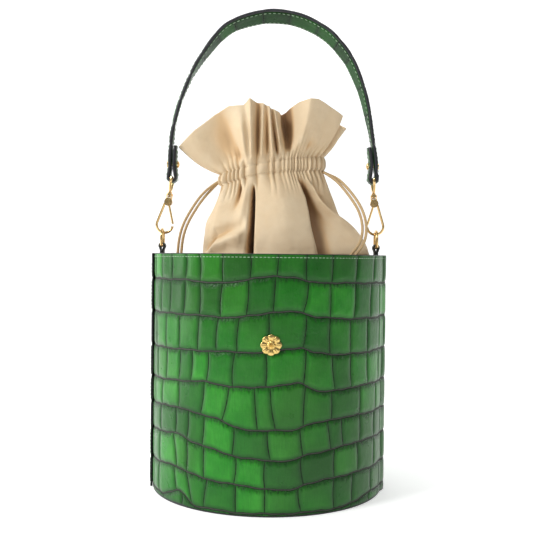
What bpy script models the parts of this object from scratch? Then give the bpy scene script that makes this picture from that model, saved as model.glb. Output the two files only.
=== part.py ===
"""Bucket bag: a leather cylinder with a drawstring pouch inside and a clip-on handle.

Metres, +Z up, the front faces -Y. The origin is the middle of the base, on the table.
Each clip chain (ring, hook, eye) is drawn in its own frame: x outward, z up the chain,
from the centre of its ring's arc, and an empty leans that frame towards the handle's end.
"""
import math

import bmesh
import bpy
import numpy as np
from mathutils import Matrix, Vector

MM = 0.001
GAP = 0.3 * MM                 # between faces that touch on the real bag

# Body
RADIUS = 99 * MM               # outside of the leather wall
HEIGHT = 200 * MM
LEATHER = 2.2 * MM
LAP_RISE = LEATHER + GAP       # how far the upper end of a lapped seam stands out
LINING = 1.0 * MM
BASE_BOARD = 2.0 * MM
WALL_STEPS = 64                # points along each wall panel

# Pouch
CLOTH = 1.2 * MM
POUCH_SIDES = 40

# Handle
STRAP_THICK = 3.6 * MM
STRAP_WIDE = 21 * MM           # at the crown
STRAP_NARROW = 13.6 * MM       # at the folded ends
CROWN_RISE = 207.5 * MM        # strap's middle line above the rim
STUD_RISE = 77.5 * MM
FLAP_STEPS = 4                 # steps of the strap's line that each flap covers

# Clip chain
RING_X = 93.3 * MM
RING_RISE = 13.5 * MM          # centre of the ring's arc above the rim
RING_ARC = 7.5 * MM
RING_LEG = 7.0 * MM
RING_WIRE = 1.2 * MM
HOOK_WIRE = 1.1 * MM
HOOK_ARC = 7.0 * MM
HOOK_LOW = 4.6 * MM            # the hook's lowest middle line, up the chain
PIVOT_UP = 31.7 * MM           # the gate's pin, up the chain
EYE_UP = 53.0 * MM             # the eye's top bar, up the chain
LEAN = {-1: math.radians(9), 1: math.radians(3.5)}   # left and right chain, inwards
TAB_WIDE = 8 * MM
TAB_LEATHER = 1.5 * MM
CORD = 1.2 * MM                # drawstring radius

GREEN = (0.02, 0.20, 0.03)
BLACK = (0.012, 0.012, 0.016)
GOLD = (0.83, 0.58, 0.22)
BEIGE = (0.72, 0.53, 0.33)

for old in list(bpy.data.objects):
    bpy.data.objects.remove(old, do_unlink=True)


def collection(name):
    made = bpy.data.collections.new(name)
    bpy.context.scene.collection.children.link(made)
    return made


PARTS = collection("bucket_bag")
CUTTERS = collection("cutters")


def material(name, colour, roughness, metallic=0.0):
    made = bpy.data.materials.new(name)
    made.use_nodes = True
    shader = made.node_tree.nodes["Principled BSDF"]
    shader.inputs["Base Color"].default_value = (*colour, 1)
    shader.inputs["Roughness"].default_value = roughness
    shader.inputs["Metallic"].default_value = metallic
    return made


def place(name, data, colour, roughness=0.5, metallic=0.0, parent=None):
    """A named sub-part in the bag's collection, with its own material."""
    obj = bpy.data.objects.new(name, data)
    PARTS.objects.link(obj)
    data.materials.clear()
    data.materials.append(material(name, colour, roughness, metallic))
    obj.parent = parent
    return obj


def shade(mesh, angle=40):
    mesh.shade_smooth()
    mesh.set_sharp_from_angle(angle=math.radians(angle))


def mesh_of(build):
    """A mesh from a function that fills a bmesh."""
    bm = bmesh.new()
    build(bm)
    bmesh.ops.recalc_face_normals(bm, faces=bm.faces)
    mesh = bpy.data.meshes.new("mesh")
    bm.to_mesh(mesh)
    bm.free()
    return mesh


def solid_mesh(obj):
    """An object's evaluated mesh with loose caps welded. The object is removed."""
    bpy.context.view_layer.update()
    graph = bpy.context.evaluated_depsgraph_get()
    mesh = bpy.data.meshes.new_from_object(obj.evaluated_get(graph))
    mesh.transform(obj.matrix_world)
    bpy.data.objects.remove(obj)
    bm = bmesh.new()
    bm.from_mesh(mesh)
    bmesh.ops.remove_doubles(bm, verts=bm.verts, dist=1e-6)
    bmesh.ops.recalc_face_normals(bm, faces=bm.faces)
    bm.to_mesh(mesh)
    bm.free()
    mesh.materials.clear()
    shade(mesh)
    return mesh


def curve(points, cyclic=False):
    made = bpy.data.curves.new("curve", "CURVE")
    made.dimensions = "3D"
    spline = made.splines.new("POLY")
    spline.points.add(len(points) - 1)
    for point, at in zip(spline.points, points):
        point.co = (*at, 1)
    spline.use_cyclic_u = cyclic
    return made


def wire(points, radius, cyclic=False, rounds=2):
    """A round wire along the points, as one closed mesh."""
    made = curve(points, cyclic)
    made.bevel_depth = radius
    made.bevel_resolution = rounds
    made.use_fill_caps = not cyclic
    obj = bpy.data.objects.new("wire", made)
    PARTS.objects.link(obj)
    return solid_mesh(obj)


def cylinder(radius, low, high, axis="Z", centre=(0, 0, 0), sides=24):
    """A cylinder mesh from low to high along an axis through centre."""
    turn = {"X": Matrix.Rotation(math.pi / 2, 4, "Y"),
            "Y": Matrix.Rotation(-math.pi / 2, 4, "X"),
            "Z": Matrix.Identity(4)}[axis]
    shift = Matrix.Translation((0, 0, (low + high) / 2))

    def build(bm):
        bmesh.ops.create_cone(bm, cap_ends=True, segments=sides, radius1=radius,
                              radius2=radius, depth=high - low,
                              matrix=Matrix.Translation(centre) @ turn @ shift)
    return mesh_of(build)


def block(low, high):
    def build(bm):
        bmesh.ops.create_cube(bm, size=1)
        size = Vector(high) - Vector(low)
        bmesh.ops.scale(bm, vec=size, verts=bm.verts)
        bmesh.ops.translate(bm, vec=(Vector(low) + Vector(high)) / 2, verts=bm.verts)
    return mesh_of(build)


def turned(profile, steps=32):
    """A closed profile of (radius, height) pairs turned about Z by a Screw modifier."""
    def build(bm):
        verts = [bm.verts.new((r, 0, z)) for r, z in profile]
        for a, b in zip(verts, verts[1:]):
            bm.edges.new((a, b))
    obj = bpy.data.objects.new("turned", mesh_of(build))
    PARTS.objects.link(obj)
    screw = obj.modifiers.new("turn", "SCREW")
    screw.steps = screw.render_steps = steps
    screw.use_merge_vertices = True
    screw.merge_threshold = 1e-5
    return solid_mesh(obj)


def boolean(obj, mesh, operation):
    """Joins or cuts obj with a mesh, which is kept as a hidden cutter under the same parent."""
    cutter = bpy.data.objects.new(f"{obj.name}_{operation.lower()}", mesh)
    CUTTERS.objects.link(cutter)
    cutter.hide_render = True
    cutter.display_type = "WIRE"
    cutter.parent = obj.parent
    cutter.location = obj.location
    step = obj.modifiers.new(operation.lower(), "BOOLEAN")
    step.operation = operation
    step.object = cutter


def smooth_step(t):
    t = min(max(t, 0.0), 1.0)
    return t * t * (3 - 2 * t)


def arc(centre, radius, start, stop, count):
    """(x, z) points on an arc, in degrees from +X."""
    turns = [math.radians(start + (stop - start) * i / (count - 1)) for i in range(count)]
    return [(centre[0] + radius * math.cos(a), centre[1] + radius * math.sin(a))
            for a in turns]


# ---------------------------------------------------------------- body

def wall_panel(name, start, stop, rise_from):
    """Half of the wall. Its last degrees rise to lap over the start of the other half."""
    middle = RADIUS - LEATHER / 2
    points = []
    for i in range(WALL_STEPS):
        angle = start + (stop - start) * i / (WALL_STEPS - 1)
        radius = middle + LAP_RISE * smooth_step((angle - rise_from) / 7)
        turn = math.radians(angle)
        points.append((radius * math.cos(turn), radius * math.sin(turn), 0))
    sheet = curve(points)
    sheet.dimensions = "2D"
    sheet.fill_mode = "NONE"
    sheet.extrude = HEIGHT / 2
    flat = bpy.data.objects.new("sheet", sheet)
    PARTS.objects.link(flat)
    panel = place(name, solid_mesh(flat), GREEN, 0.3)
    panel.location.z = HEIGHT / 2
    thick = panel.modifiers.new("thickness", "SOLIDIFY")
    thick.thickness = LEATHER
    thick.offset = 0
    return panel


def disc(name, radius, low, high, colour, roughness):
    made = place(name, cylinder(radius, 0, high - low, sides=64), colour, roughness)
    made.location.z = low
    return made


def body():
    inner = RADIUS - LEATHER
    front = wall_panel("wall_front", 173, 369, 344)
    wall_panel("wall_back", -8, 189, 165)
    base_top = LEATHER
    board_top = base_top + GAP + BASE_BOARD
    lining_out = inner - GAP
    lining_in = lining_out - LINING
    disc("base_leather", inner - GAP, 0, base_top, BLACK, 0.5)
    disc("base_board", lining_in - GAP, base_top + GAP, board_top, (0.3, 0.22, 0.14), 0.9)
    disc("base_lining", lining_in - GAP, board_top + GAP, board_top + GAP + LINING,
         BEIGE, 0.9)
    low, high = base_top + GAP, HEIGHT - 1 * MM
    place("wall_lining", turned([(lining_out, high), (lining_out, low), (lining_in, low),
                                 (lining_in, high), (lining_out, high)], 64), BEIGE, 0.9)
    return front


def ornament(front):
    """A small plain rosette on the front wall: an eight-lobed plate, a dome and one post."""
    lobes, size, height = 8, 8.2 * MM, 131 * MM
    post, depth = 1.0 * MM, 1.6 * MM
    outline = []
    for i in range(lobes * 8):
        turn = 2 * math.pi * i / (lobes * 8)
        radius = size * (0.86 + 0.14 * abs(math.cos(lobes * turn / 2)) ** 0.7)
        outline.append((radius * math.cos(turn), radius * math.sin(turn), 0))
    plate = curve(outline, True)
    plate.dimensions = "2D"
    plate.fill_mode = "BOTH"
    plate.extrude = 0.7 * MM
    flat = bpy.data.objects.new("plate", plate)
    flat.rotation_euler.x = math.pi / 2
    PARTS.objects.link(flat)
    made = place("ornament", solid_mesh(flat), GOLD, 0.25, 1.0)
    made.location = (2 * MM, -RADIUS - GAP - 0.7 * MM, height)
    boolean(made, cylinder(size * 0.45, -1.6 * MM, 0, "Y", sides=24), "UNION")
    boolean(made, cylinder(post, 0, 0.7 * MM + depth, "Y", sides=16), "UNION")
    hole = cylinder(post + GAP, -LEATHER, LEATHER, "Y", sides=16)
    hole.transform(Matrix.Translation((2 * MM, -RADIUS, height - HEIGHT / 2)))
    boolean(front, hole, "DIFFERENCE")


def tab(side, name):
    """A strip folded over the ring's bar, both ends sewn flat inside the rim."""
    bar = RING_RISE - RING_LEG
    bend = RING_WIRE + GAP + TAB_LEATHER / 2
    stem = TAB_LEATHER / 2 + GAP / 2
    low = -24 * MM
    loop = arc((0, bar), bend, 220, -40, 15)
    path = [(-stem, low), (-stem, bar - 4 * MM), *loop, (stem, bar - 4 * MM), (stem, low)]
    strip = ribbon([(x, z) for x, z in path], TAB_WIDE)
    made = place(name, strip, BLACK, 0.5)
    made.location = (side * RING_X, 0, HEIGHT)
    add_thickness(made, TAB_LEATHER)


def ribbon(path, width):
    """An open strip along (x, z) points, from -width/2 to width/2 along Y."""
    sheet = curve([(x, z, 0) for x, z in path])
    sheet.dimensions = "2D"
    sheet.fill_mode = "NONE"
    sheet.extrude = width / 2
    flat = bpy.data.objects.new("sheet", sheet)
    flat.rotation_euler.x = math.pi / 2
    PARTS.objects.link(flat)
    return solid_mesh(flat)


def add_thickness(obj, thickness):
    step = obj.modifiers.new("thickness", "SOLIDIFY")
    step.thickness = thickness
    step.offset = 0
    step.use_even_offset = True


# ---------------------------------------------------------------- pouch

# Height at the ends, extra height in the middle, centre in x, half widths in x and y.
POUCH_SECTIONS = (
    (7, 0, 0, 60, 60),
    (7.5, 0, 0, 84, 84),
    (14, 0, 0, 88, 88),
    (60, 0, 0, 88, 88),
    (115, 0, 2, 86, 84),
    (160, 0, 5, 76, 72),
    (200, 0, 10, 70, 56),
    (225, 2, 4, 62, 43),
    (245, 5, 2, 53, 29),
    (259, 10, 0, 46, 17),
    (264, 11, 0, 44, 13),
    (273, 13, 0, 44, 12),
    (280, 20, -3, 56, 15),
    (287, 33, -5, 69, 19),
    (292, 44, -6, 73, 22),
)


def pouch():
    """The cloth bag: full inside the leather, drawn in at the neck, open above it."""
    rows = []
    for height, bow, middle, wide, deep in POUCH_SECTIONS:
        row = []
        for i in range(POUCH_SIDES):
            turn = 2 * math.pi * i / POUCH_SIDES
            across, along = math.cos(turn), math.sin(turn)
            row.append(Vector((middle + wide * across, deep * along,
                               height + bow * (1 - across * across))) * MM)
        rows.append(row)

    def build(bm):
        rings = [[bm.verts.new(p) for p in row] for row in rows]
        bm.faces.new(reversed(rings[0]))
        for low, high in zip(rings, rings[1:]):
            for i in range(POUCH_SIDES):
                j = (i + 1) % POUCH_SIDES
                bm.faces.new((low[i], low[j], high[j], high[i]))
    made = place("pouch", mesh_of(build), BEIGE, 0.8)
    shade(made.data, 60)
    step = made.modifiers.new("thickness", "SOLIDIFY")
    step.thickness = CLOTH
    step.offset = 1            # the open surface's normals point into the bag


# Each side's drawstring leaves the neck, arcs down and goes in behind the rim.
LEFT_ROUTE = ((-46.7, -1, 261), (-53.5, -2, 254.8), (-60, -3.5, 247.3), (-65.5, -5, 238.8),
              (-70.5, -7, 229.8), (-74.3, -8, 220.5), (-76.5, -9, 210), (-77.3, -10, 199),
              (-78.3, -10, 185), (-81, -10, 168))
RIGHT_ROUTE = ((46.3, -2, 272), (51, -5, 269.3), (58.7, -12, 263.6), (67.5, -22, 252.3),
               (74.8, -33, 239), (77.8, -41, 227), (77.3, -47, 216), (73.5, -52.5, 207),
               (66, -59, 197.5), (60.5, -64.5, 184), (58.5, -66.5, 167))
STRAND_SPREAD = 1.4            # half the distance between a side's two strands, mm


def smooth_route(route, spacing=4.5):
    """Evenly spaced points on a Catmull-Rom curve through the route's points."""
    ends = [2 * route[0] - route[1], *route, 2 * route[-1] - route[-2]]
    fine = []
    for a, b, c, d in zip(ends, ends[1:], ends[2:], ends[3:]):
        for i in range(12):
            t = i / 12
            fine.append(0.5 * (2 * b + (c - a) * t + (2 * a - 5 * b + 4 * c - d) * t * t
                               + (3 * b - a - 3 * c + d) * t ** 3))
    fine.append(route[-1])
    length = sum((q - p).length for p, q in zip(fine, fine[1:]))
    count = max(8, round(length / spacing))
    out, run, target = [fine[0]], 0.0, length / count
    for p, q in zip(fine, fine[1:]):
        step = (q - p).length
        while run + step >= target - 1e-9 and len(out) < count:
            p = p.lerp(q, (target - run) / step)
            out.append(p)
            step, run = (q - p).length, 0.0
        run += step
    out.append(fine[-1])
    return out


def strand_line(route, sign):
    """One strand's points: beside the other at the neck, then apart across the route."""
    last = len(route) - 1
    out = []
    for i, p in enumerate(route):
        ahead = route[min(i + 1, last)] - route[max(i - 1, 0)]
        aside = Vector((-ahead.z, 0, ahead.x)).normalized()
        turn = math.pi / 2 * smooth_step(i / last / 0.35)
        spread = STRAND_SPREAD * (1 + 0.15 * math.sin(math.pi * i / last))
        out.append(p + sign * spread * (Vector((0, math.cos(turn), 0))
                                        + aside * math.sin(turn)))
    return out


def drawstring(side, route):
    """Two strands side by side, joined by a knot at their hidden end."""
    middle = [Vector(p) for p in route]
    for name, sign in (("front", -1), ("back", 1)):
        points = [p * MM for p in smooth_route(strand_line(middle, sign))]
        place(f"drawstring_{side}_{name}", wire(points, CORD), BEIGE, 0.7)

    def build(bm):
        bmesh.ops.create_uvsphere(bm, u_segments=16, v_segments=10, radius=4.4 * MM)
        bmesh.ops.scale(bm, vec=(0.85, 1, 1.1), verts=bm.verts)
    knot = place(f"drawstring_knot_{side}", mesh_of(build), BEIGE, 0.8)
    knot.location = (middle[-1] + Vector((0, 0, -5.6))) * MM


# ---------------------------------------------------------------- clip chain

def chain_frame(side, name):
    """The empty that carries a clip chain, at the centre of its ring's arc."""
    empty = bpy.data.objects.new(f"chain_{name}", None)
    PARTS.objects.link(empty)
    empty.location = (side * RING_X, 0, HEIGHT + RING_RISE)
    empty.rotation_euler.y = -side * LEAN[side]
    return empty


def ring(side, name):
    """A D-ring in the YZ plane: its straight bar lies in the tab, its arc is on top."""
    outline = arc((0, 0), RING_ARC, 0, 180, 15)
    corner = 1.5 * MM
    low = -RING_LEG
    outline += [(-RING_ARC, low + corner), (-RING_ARC + corner * 0.3, low + corner * 0.3),
                (-RING_ARC + corner, low), (RING_ARC - corner, low),
                (RING_ARC - corner * 0.3, low + corner * 0.3), (RING_ARC, low + corner)]
    made = place(f"d_ring_{name}", wire([(0, y, z) for y, z in outline], RING_WIRE, True),
                 GOLD, 0.2, 1.0)
    bar = Vector((0, 0, low))
    made.data.transform(Matrix.Translation(-bar))
    made.location = Vector((side * RING_X, 0, HEIGHT + RING_RISE)) + bar


def hook(side, name, frame):
    """The pear-shaped hook. Its head is slotted for the gate and has the swivel's socket."""
    bend = (0, HOOK_LOW + HOOK_ARC)
    top = (2.9 * MM, PIVOT_UP - 1.4 * MM)
    path = [top, *arc(bend, HOOK_ARC, 8, -178, 21)]
    made = place(f"hook_frame_{name}",
                 wire([(side * x, 0, z) for x, z in path], HOOK_WIRE), GOLD, 0.2, 1.0, frame)
    pin = (0, 0, PIVOT_UP)
    boolean(made, cylinder(3.5 * MM, -2.7 * MM, 2.7 * MM, "Y", pin), "UNION")
    boolean(made, cylinder(2.9 * MM, PIVOT_UP + 1.5 * MM, PIVOT_UP + 7.3 * MM), "UNION")
    slot = 1.35 * MM
    boolean(made, cylinder(2.6 * MM, -slot, slot, "Y", pin), "DIFFERENCE")
    inner = sorted((-side * 5 * MM, side * 1.6 * MM))
    boolean(made, block((inner[0], -slot, PIVOT_UP - 5 * MM),
                        (inner[1], slot, PIVOT_UP)), "DIFFERENCE")
    boolean(made, cylinder(1.15 * MM, -4 * MM, 4 * MM, "Y", pin, 16), "DIFFERENCE")
    boolean(made, block((-2.1 * MM, -4 * MM, PIVOT_UP + 3.7 * MM),
                        (2.1 * MM, 4 * MM, PIVOT_UP + 5.5 * MM)), "DIFFERENCE")
    boolean(made, cylinder(1.15 * MM, PIVOT_UP + 5 * MM, PIVOT_UP + 9 * MM, sides=16),
            "DIFFERENCE")


def gate_parts(side, name, frame):
    """The gate on its pin, with the coil that closes it, all about the pin's axis."""
    pin_up = Vector((0, 0, PIVOT_UP))
    head, reach = 1.9 * MM, 3.7 * MM
    outline = [(0, reach), (head, reach), (head, 3.0 * MM), (0.85 * MM, 3.0 * MM),
               (0.85 * MM, -3.0 * MM), (head, -3.0 * MM), (head, -reach), (0, -reach)]
    pin = place(f"gate_pin_{name}", turned(outline[::-1], 16), GOLD, 0.25, 1.0, frame)
    pin.rotation_euler.x = math.pi / 2
    pin.location = pin_up

    nose = Vector((-side * 7.0 * MM, 0, HOOK_LOW + HOOK_ARC + 1.6 * MM)) - pin_up
    start = nose.normalized() * 2.1 * MM
    gate = place(f"hook_gate_{name}", wire([start, nose], 0.95 * MM), GOLD, 0.2, 1.0, frame)
    gate.location = pin_up
    boolean(gate, cylinder(2.25 * MM, -1.1 * MM, -0.2 * MM, "Y", sides=20), "UNION")
    boolean(gate, cylinder(1.15 * MM, -2 * MM, 0.4 * MM, "Y", sides=16), "DIFFERENCE")

    turns, coil = 1.5, []
    for i in range(19):
        turn = 2 * math.pi * turns * i / 18
        coil.append((1.5 * MM * math.cos(turn), (0.35 + 0.5 * i / 18) * MM,
                     1.5 * MM * math.sin(turn)))
    spring = place(f"gate_spring_{name}", wire(coil, 0.22 * MM, rounds=1),
                   (0.5, 0.5, 0.5), 0.3, 1.0, frame)
    spring.location = pin_up


def eye(name, frame):
    """The strap's eye: a D of wire on a post whose flange turns in the hook's socket."""
    low, high, wide = 9.1 * MM - EYE_UP + PIVOT_UP, 0, 8.4 * MM
    half = [(0, low), (3.6 * MM, low + 0.9 * MM), (6.6 * MM, low + 4.2 * MM),
            (wide, low + 8.4 * MM), (wide, high - 1.2 * MM),
            (wide - 0.35 * MM, high - 0.35 * MM), (wide - 1.2 * MM, high)]
    outline = half + [(-y, z) for y, z in half[:0:-1]]
    made = place(f"swivel_eye_{name}",
                 wire([(0, y, z) for y, z in outline], HOOK_WIRE, True), GOLD, 0.2, 1.0,
                 frame)
    made.location.z = EYE_UP
    down = PIVOT_UP - EYE_UP
    boolean(made, cylinder(0.85 * MM, down + 4.4 * MM, down + 9.2 * MM, sides=16), "UNION")
    boolean(made, cylinder(1.7 * MM, down + 4.1 * MM, down + 5.1 * MM, sides=20), "UNION")
    boolean(made, cylinder(1.9 * MM, down + 7.6 * MM, down + 8.8 * MM, sides=20), "UNION")


# ---------------------------------------------------------------- handle

# The strap's middle line over the crown, from right to left: x and z in mm.
ARCH = ((90.3, 293), (86.4, 315), (80.3, 341), (69.8, 366.5), (58.2, 382.5), (45.5, 394),
        (25, 404), (3, 407.5), (-16, 405), (-34.2, 398.5), (-45.8, 389), (-57.4, 374.4),
        (-68.3, 357.5), (-79.2, 332), (-84.6, 310), (-86.4, 292))
# Twist of the strap at an x in mm: the degrees by which its front edge leans outwards.
TWIST = ((-84, -5), (-75, -3), (-62, 3), (-45, 9), (0, 14), (60, 12), (86, 9), (90, 0))


def strap_end(side):
    """Where the eye's bar lies in the fold: x outward and z."""
    return (RING_X - EYE_UP * math.sin(LEAN[side]),
            HEIGHT + RING_RISE + EYE_UP * math.cos(LEAN[side]))


def flap_line(limb, side):
    """The flap's middle line, top to bottom, along the inner face of the limb's foot."""
    out = []
    for below, above in zip(limb[:FLAP_STEPS + 1], limb[1:]):
        ahead = (above - below).normalized()
        inward = Vector((-ahead.z, 0, ahead.x)) * side
        out.append(below + inward * (STRAP_THICK + GAP))
    return out[::-1]


def strap_line():
    """The strap's middle line from the right flap's end to the left one's."""
    bend = HOOK_WIRE + GAP + STRAP_THICK / 2
    feet, folds = [], []
    for side in (1, -1):
        x, bar = strap_end(side)
        foot = side * (x + (STRAP_THICK + GAP) / 2)
        feet.append([Vector((foot, 0, bar + rise * MM)) for rise in (9, 15)])
        folds.append([Vector((side * u, 0, z)) for u, z in arc((x, bar), bend, 170, 370, 17)])
    over = [Vector((x, 0, z)) * MM for x, z in ARCH]
    limbs = smooth_route([*feet[0], *over, *feet[1][::-1]], 4.8 * MM)
    return (flap_line(limbs, 1) + folds[0] + limbs
            + folds[1][::-1] + flap_line(limbs[::-1], -1)[::-1])


def strap():
    """The strap: narrow at its folded ends, wide and twisted forwards over the crown."""
    line = strap_line()
    low, high = strap_end(1)[1], HEIGHT + CROWN_RISE

    def build(bm):
        edges = []
        for i, at in enumerate(line):
            ahead = line[min(i + 1, len(line) - 1)] - line[max(i - 1, 0)]
            outward = Vector((ahead.z, 0, -ahead.x)).normalized()
            share = smooth_step((at.z - low - 34 * MM) / (high - low - 60 * MM))
            half = (STRAP_NARROW + (STRAP_WIDE - STRAP_NARROW) * share) / 2
            twist = math.radians(np.interp(at.x / MM, *np.transpose(TWIST)))
            twist *= smooth_step((at.z - low - 32 * MM) / (25 * MM))
            across = Vector((0, half, 0)) - outward * (half * math.tan(twist))
            edges.append((bm.verts.new(at - across), bm.verts.new(at + across)))
        for a, b in zip(edges, edges[1:]):
            bm.faces.new((a[0], b[0], b[1], a[1]))
    made = place("handle_strap", mesh_of(build), GREEN, 0.35)
    shade(made.data)
    add_thickness(made, STRAP_THICK)
    return made


def stud(side, name, strap_object):
    """A domed stud through both layers of the strap's end, and the washer behind it."""
    x, _ = strap_end(side)
    height = HEIGHT + STUD_RISE
    face = STRAP_THICK + GAP / 2
    post, head = 1.2 * MM, 3.0 * MM
    outer = face + GAP + 0.9 * MM
    dome = [(post, outer), (post, -face - GAP), (head, -face - GAP),
            (head, -face - GAP - 0.5 * MM)]
    dome += [(head * math.cos(a), -face - GAP - 0.5 * MM - 1.7 * MM * math.sin(a))
             for a in (math.radians(d) for d in (20, 42, 66))]
    dome = [(0, outer), *dome, (0, -face - GAP - 2.2 * MM)]
    made = place(f"stud_{name}", turned(dome, 24), GOLD, 0.2, 1.0)
    washer = [(2.6 * MM, face + GAP + 0.8 * MM), (2.6 * MM, face + GAP),
              (post + GAP, face + GAP), (post + GAP, face + GAP + 0.8 * MM),
              (2.6 * MM, face + GAP + 0.8 * MM)]
    back = place(f"stud_washer_{name}", turned(washer, 24), GOLD, 0.3, 1.0)
    for piece in (made, back):
        piece.location = (side * x, 0, height)
        piece.rotation_euler.y = side * math.pi / 2
    boolean(strap_object, cylinder(post + GAP, -7 * MM, 7 * MM, "X",
                                   (side * x, 0, height), 16), "DIFFERENCE")


front_wall = body()
ornament(front_wall)
pouch()
drawstring("left", LEFT_ROUTE)
drawstring("right", RIGHT_ROUTE)
handle = strap()
for side, name in ((-1, "left"), (1, "right")):
    chain = chain_frame(side, name)
    tab(side, f"tab_{name}")
    ring(side, name)
    hook(side, name, chain)
    gate_parts(side, name, chain)
    eye(name, chain)
    stud(side, name, handle)
bpy.context.view_layer.update()
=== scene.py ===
"""Looks of the bucket bag: embossed leather wall and strap, gathered cloth pouch, cords.

Metres, in the frame's own axes: +Z up, the front faces -Y. Angles round the wall are
degrees from the front's middle, growing towards +X, and a half's own middle is 0.
"""

import math
import random

import bpy
import numpy as np
from mathutils import Euler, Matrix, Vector, noise


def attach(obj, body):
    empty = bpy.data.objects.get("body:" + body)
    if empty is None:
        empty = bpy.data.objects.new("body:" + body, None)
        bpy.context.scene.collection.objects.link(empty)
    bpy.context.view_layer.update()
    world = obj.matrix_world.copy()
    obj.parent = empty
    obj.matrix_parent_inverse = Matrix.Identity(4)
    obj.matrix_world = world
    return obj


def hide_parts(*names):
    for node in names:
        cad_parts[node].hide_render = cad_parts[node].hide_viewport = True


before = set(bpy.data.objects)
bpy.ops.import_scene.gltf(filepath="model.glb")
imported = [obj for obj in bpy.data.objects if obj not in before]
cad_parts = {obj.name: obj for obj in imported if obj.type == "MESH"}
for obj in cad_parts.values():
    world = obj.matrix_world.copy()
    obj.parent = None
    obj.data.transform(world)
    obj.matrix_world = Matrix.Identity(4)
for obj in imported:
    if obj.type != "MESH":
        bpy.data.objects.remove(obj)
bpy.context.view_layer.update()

MM = 0.001
HEIGHT = 200 * MM  # of the wall
RADIUS = 99 * MM  # outside of the wall
LEATHER = 2.2 * MM  # thickness
LAP_RISE = 2.5 * MM  # how far a lapping end stands out
LAP_BEND = 7  # degrees over which it rises
EDGE_ROUND = 0.6 * MM
STITCH_DOWN = 2.8 * MM  # stitches from a leather edge
STITCH_PITCH = 3.1 * MM
STITCH_LENGTH = 2.2 * MM
THREAD = 0.26 * MM  # thread radius
NO_GROOVE = 9 * MM  # a distance at which a groove no longer shows

LEATHER_GREEN = (0.014, 0.245, 0.011)
LEATHER_LIGHT = (0.044, 0.345, 0.027)
LEATHER_DEEP = (0.006, 0.052, 0.008)
LEATHER_OLIVE = (0.026, 0.115, 0.010)
GROOVE_DARK = (0.010, 0.014, 0.010)
GROOVE_RIDGE = (0.075, 0.085, 0.062)
CLOTH_BEIGE = (0.87, 0.70, 0.47)
# Painted shade for the pouch's hollows: ochre where shallow, dark brown where deep.
CLOTH_HALF_SHADE = (0.74, 0.50, 0.26)
CLOTH_DEEP_SHADE = (0.30, 0.165, 0.075)
THREAD_GREEN = (0.42, 0.62, 0.40)


# ---- small helpers

def smooth_step(t):
    t = np.clip(t, 0.0, 1.0)
    return t * t * (3 - 2 * t)


def bump(u, left, right, power=2.0):
    """1 at u = 0, falling off over `left` on one side and `right` on the other."""
    return np.exp(-np.abs(np.where(u < 0, u / left, u / right)) ** power)


def soft_min(a, b, blend):
    h = np.clip(0.5 + 0.5 * (b - a) / blend, 0, 1)
    return b * (1 - h) + a * h - blend * h * (1 - h)


def lattice(rows, columns):
    """Quads between rows of points that each go round a piece."""
    r = np.arange(rows - 1)[:, None] * columns
    c = np.arange(columns)[None, :]
    after = (c + 1) % columns
    return np.stack([r + c, r + after, r + columns + after, r + columns + c],
                    -1).reshape(-1, 4)


def tube(rows, columns):
    """Faces of a tube of such rows, its two ends last."""
    end = (rows - 1) * columns
    return [*lattice(rows, columns), range(columns)[::-1], range(end, end + columns)]


def quad_corners(grid):
    """A grid's values at the four corners of each quad between its rows and columns."""
    return np.stack([grid[:-1, :-1], grid[1:, :-1], grid[1:, 1:], grid[:-1, 1:]], -1)


def add_object(name, data):
    thing = bpy.data.objects.new(name, data)
    bpy.context.scene.collection.objects.link(thing)
    return thing


def mesh_piece(name, points, faces, materials, face_material=None, body=None):
    data = bpy.data.meshes.new(name)
    data.from_pydata([tuple(p) for p in points], [], [list(f) for f in faces])
    for material in materials:
        data.materials.append(material)
    if face_material is not None:
        data.polygons.foreach_set("material_index", np.asarray(face_material, np.int32))
    data.polygons.foreach_set("use_smooth", np.ones(len(data.polygons), bool))
    piece = add_object(name, data)
    if body:
        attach(piece, body)
    return piece


def corner_values(piece, name, values, caps):
    """A value for each corner of a piece's quads, then 0 for `caps` corners of its ends."""
    values = np.append(values, np.zeros(caps)).astype(np.float32)
    piece.data.attributes.new(name, "FLOAT", "CORNER").data.foreach_set("value", values)


# ---- materials

class Nodes:
    """A node tree in the making: most methods add one node and return its output."""

    def __init__(self, tree):
        self.tree = tree

    def add(self, kind, inputs=(), **settings):
        node = self.tree.nodes.new(kind)
        for key, value in settings.items():
            setattr(node, key, value)
        for key, value in dict(inputs).items():
            self.put(node, key, value)
        return node

    def put(self, node, key, value):
        if isinstance(value, bpy.types.NodeSocket):
            self.tree.links.new(value, node.inputs[key])
        else:
            node.inputs[key].default_value = value

    def math(self, operation, a, b=0.0, c=0.0):
        return self.add("ShaderNodeMath", {0: a, 1: b, 2: c}, operation=operation).outputs[0]

    def ramp(self, value, low, high, out_low=0.0, out_high=1.0):
        return self.add("ShaderNodeMapRange",
                        {0: value, 1: low, 2: high, 3: out_low, 4: out_high},
                        interpolation_type="SMOOTHSTEP").outputs[0]

    def mix(self, share, a, b):
        return self.add("ShaderNodeMix", {0: share, 6: a, 7: b}, data_type="RGBA").outputs[2]


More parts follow.
